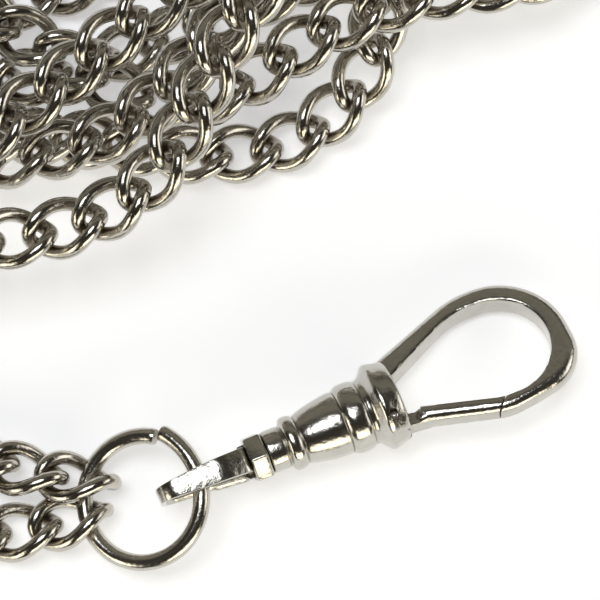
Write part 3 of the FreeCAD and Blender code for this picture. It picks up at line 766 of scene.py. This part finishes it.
def make_rivet(material):
    """Rivet through the bail and collar into the barrel, its outer end hammered over."""
    foot = -COLLAR_BLOCK_LENGTH - RUN - BAIL_BAND
    rivet = rod_piece(softened([
        (foot - 0.30, 0.12), (foot - 0.29, 0.34), (foot - 0.18, 0.55), (foot - 0.04, 0.62),
        (foot, 0.60), (foot, RIVET_RADIUS), (CAVITY_START + RUN, RIVET_RADIUS),
        (CAVITY_START + RUN, 0.95), (CAVITY_START + RUN + 0.55, 0.95),
    ], 1))
    transform(rivet, swivel_frame())
    rivet.name = "swivel_rivet_shank"
    dress(rivet, material, "bail", ["swivel_rivet"])


def bail_line():
    """The middle of the bail's band in its own XZ plane, from the collar over the top and back."""
    x0 = -COLLAR_BLOCK_LENGTH - RUN
    tip = x0 - BAIL_LENGTH
    half = BAIL_BAND / 2
    return rounded_outline([
        (x0 - half, -1.55 + half, 0.30), (x0 - half, 1.35 - half * 0.9, 0.30),
        (x0 - 1.95, 1.95 - half, 2.7), (tip + half, 1.95 - half, 1.2), (tip + half, -1.75 + half, 1.0),
    ], 0.10)


def bail_width(x, z):
    """Width of the band: narrow at the tip, and a wide foot on the lower run."""
    x0 = -COLLAR_BLOCK_LENGTH - RUN
    middle = x0 - BAIL_MIDDLE
    if x > middle:
        share = max(0.0, (x0 - x) / BAIL_MIDDLE)
        narrow = BAIL_WIDTH + (BAIL_MIDDLE_WIDTH - BAIL_WIDTH) * share
    else:
        share = (middle - x) / (BAIL_LENGTH - BAIL_MIDDLE + 1)
        narrow = BAIL_MIDDLE_WIDTH + (BAIL_TIP_WIDTH - BAIL_MIDDLE_WIDTH) * share
    if z > 0:
        return narrow
    narrow = min(narrow, BAIL_MIDDLE_WIDTH)
    foot = min(1.0, max(0.0, (x - (x0 - BAIL_FOOT_LENGTH - 0.1)) / 0.35))
    wide = BAIL_FOOT_WIDTH - 0.7 * min(1.0, max(0.0, (x0 - x) / BAIL_FOOT_LENGTH))
    return narrow + (wide - narrow) * foot


def make_bail(material):
    """Bail: a bevelled band bent to a loop round the jump ring."""
    line = spaced(bail_line() + [bail_line()[0]], 0.11)[:-1]
    count = len(line)
    rings = []
    for i, here in enumerate(line):
        ahead = (line[(i + 1) % count] - line[i - 1]).normalized()
        out = Vector((-ahead.y, ahead.x))
        half_band = BAIL_BAND / 2
        half = bail_width(here.x, here.y) / 2
        bevel = min(BAIL_BEVEL, half * 0.4)
        section = rounded_outline([(-half_band, -half, 0.07), (-half_band, half, 0.07),
                                   (half_band - bevel, half, 0.06), (half_band, half - bevel, 0.06),
                                   (half_band, -half + bevel, 0.06),
                                   (half_band - bevel, -half, 0.06)], 0.03)
        ring = []
        for outward, across in section:
            p = here + out * outward
            ring.append((p.x, across, p.y))
        rings.append(ring)
    points, faces = loft(rings, closed=True)
    piece = make_object("bail_band", points, faces)
    hole = rod_piece([(-COLLAR_BLOCK_LENGTH - RUN - BAIL_BAND - 0.2, RIVET_RADIUS), (0.5, RIVET_RADIUS)])
    combine(piece, hole, "DIFFERENCE")
    tidy_mesh(piece, 30.0)
    transform(piece, bail_frame())
    dress(piece, material, "bail", ["bail"])


# ---- stage, light and camera -------------------------------------------------------------------
VIEW_TURN = -23.0               # the camera's azimuth, degrees
VIEW_HEIGHT = 80.0              # and its height over the horizon
VIEW_WIDTH = 42.86              # what it sees across, in millimetres
VIEW_AIM = (6.63, 9.69)         # middle of its view on the table, from the swivel's neck
LENS = 180.0


def view_axes():
    """The directions right, up and towards the camera, in the photograph's view."""
    turn = math.radians(VIEW_TURN)
    rise = math.radians(VIEW_HEIGHT)
    back = Vector((math.sin(turn) * math.cos(rise), -math.cos(turn) * math.cos(rise),
                   math.sin(rise)))
    right = Vector((math.cos(turn), math.sin(turn), 0))
    return right, back.cross(right), back


def make_camera():
    """Camera at the photograph's angle."""
    right, up, back = view_axes()
    data = bpy.data.cameras.new("camera")
    data.lens = LENS
    data.clip_start = 0.01
    camera = bpy.data.objects.new("camera", data)
    bpy.context.scene.collection.objects.link(camera)
    neck = Vector(JOINTS["hook_turn"]["pos_m"])
    aim = Vector((neck.x + VIEW_AIM[0] * MM, neck.y + VIEW_AIM[1] * MM, 0.0))
    distance = VIEW_WIDTH * MM * LENS / data.sensor_width
    camera.matrix_world = axes_matrix(right, up, back, aim + back * distance)
    bpy.context.scene.camera = camera


def make_floor():
    """Plain pale floor."""
    size = 3.0
    mesh = bpy.data.meshes.new("floor")
    low = cad_box[0].z - 0.00003
    mesh.from_pydata([(-size, -size, low), (size, -size, low), (size, size, low),
                      (-size, size, low)], [], [(0, 1, 2, 3)])
    floor = bpy.data.objects.new("floor", mesh)
    bpy.context.scene.collection.objects.link(floor)
    material = bpy.data.materials.new("floor_paper")
    material.use_nodes = True
    shader = material.node_tree.nodes["Principled BSDF"]
    shader.inputs["Base Color"].default_value = (0.90, 0.91, 0.93, 1)
    shader.inputs["Roughness"].default_value = 0.8
    shader.inputs["Emission Color"].default_value = (0.98, 0.985, 1.0, 1)
    shader.inputs["Emission Strength"].default_value = 0.45
    mesh.materials.append(material)


def soft_box(tree, way, centre, side, size, soft, colour, strength):
    """A rectangular soft light in the studio's surroundings, as a colour by direction."""
    centre = centre.normalized()
    across = side - centre * side.dot(centre)
    across.normalize()
    upward = centre.cross(across)
    masks = []
    depth = node(tree, "ShaderNodeVectorMath", {0: way, 1: centre}, operation="DOT_PRODUCT")
    ahead = node(tree, "ShaderNodeMath", {0: depth.outputs["Value"], 1: 0.05}, operation="MAXIMUM")
    for axis, half in zip((across, upward), size):
        flat = node(tree, "ShaderNodeVectorMath", {0: way, 1: axis}, operation="DOT_PRODUCT")
        ratio = node(tree, "ShaderNodeMath", {0: flat.outputs["Value"], 1: ahead.outputs[0]},
                     operation="DIVIDE")
        far = node(tree, "ShaderNodeMath", {0: ratio.outputs[0]}, operation="ABSOLUTE")
        edge = math.tan(math.radians(half))
        masks.append(node(tree, "ShaderNodeMapRange",
                          {"Value": far.outputs[0], "From Min": edge - soft,
                           "From Max": edge + soft, "To Min": 1.0, "To Max": 0.0},
                          interpolation_type="SMOOTHSTEP").outputs["Result"])
    mask = node(tree, "ShaderNodeMath", {0: masks[0], 1: masks[1]}, operation="MULTIPLY")
    level = tuple(c * strength for c in colour)
    return node(tree, "ShaderNodeVectorMath", {0: level, "Scale": mask.outputs[0]},
                operation="SCALE").outputs["Vector"]


def make_studio():
    """Surroundings: dim room, olive wall behind, white box overhead and cream boxes in front."""
    right, up, back = view_axes()
    world = bpy.data.worlds.new("studio")
    bpy.context.scene.world = world
    world.use_nodes = True
    tree = world.node_tree
    out = tree.nodes["World Output"]
    background = tree.nodes["Background"]
    way = node(tree, "ShaderNodeTexCoord").outputs["Generated"]
    boxes = [
        (back * 0.95 + up * 0.30 - right * 0.16, right, (15, 12), 0.05, (0.97, 0.99, 1.0), 5.2),
        (back * 0.45 - up * 0.75 + right * 0.35, right, (26, 13), 0.08, (1.0, 0.93, 0.74), 3.2),
        (back * 0.45 - up * 0.55 - right * 0.85, up, (16, 10), 0.08, (1.0, 0.93, 0.76), 3.0),
        (back * 0.42 + up * 0.95 - right * 0.1, right, (75, 17), 0.25, (0.95, 0.90, 0.74), 0.22),
        (back * 0.42 + right * 0.95 + up * 0.2, up, (20, 12), 0.15, (1.0, 0.97, 0.90), 2.2),
    ]
    total = (0.035, 0.030, 0.024)
    for box in boxes:
        total = node(tree, "ShaderNodeVectorMath", {0: total, 1: soft_box(tree, way, *box)},
                     operation="ADD").outputs["Vector"]
    tree.links.new(total, background.inputs["Color"])
    seen = node(tree, "ShaderNodeBackground", {"Color": (0.93, 0.93, 0.93, 1)})
    ray = node(tree, "ShaderNodeLightPath")
    mix = node(tree, "ShaderNodeMixShader", {0: ray.outputs["Is Camera Ray"],
                                             1: background.outputs[0], 2: seen.outputs[0]})
    tree.links.new(mix.outputs[0], out.inputs["Surface"])
    bpy.context.scene.view_settings.view_transform = "Standard"


# ---- the whole piece ---------------------------------------------------------------------------
def main():
    """Builds the looks round the frame."""
    chain = plated_metal("chain_nickel", (0.56, 0.535, 0.485, 1), (0.20, 0.16, 0.11, 1),
                         (0.14, 0.36), 3000.0, 0.40)
    ring = plated_metal("ring_nickel", (0.57, 0.55, 0.505, 1), (0.22, 0.18, 0.13, 1),
                        (0.16, 0.34), 3400.0, 0.40)
    swivel = plated_metal("swivel_nickel", (0.56, 0.545, 0.505, 1), (0.22, 0.19, 0.14, 1),
                          (0.16, 0.36), 2200.0, 0.60)
    steel = plated_metal("pin_steel", (0.62, 0.60, 0.57, 1), (0.18, 0.15, 0.12, 1),
                         (0.22, 0.40), 6000.0, 0.2)
    for name in sorted(frame["nodes"]):
        if name.startswith(("chain_run", "link_")):
            make_links(name, chain)
    make_ring(ring)
    make_hook_body(swivel)
    make_gate(swivel)
    make_pin(steel)
    make_collar(swivel)
    make_rivet(steel)
    make_bail(swivel)
    frame["nodes"]["gate_spring"].data.materials.clear()
    frame["nodes"]["gate_spring"].data.materials.append(steel)
    make_floor()
    make_studio()
    make_camera()


main()
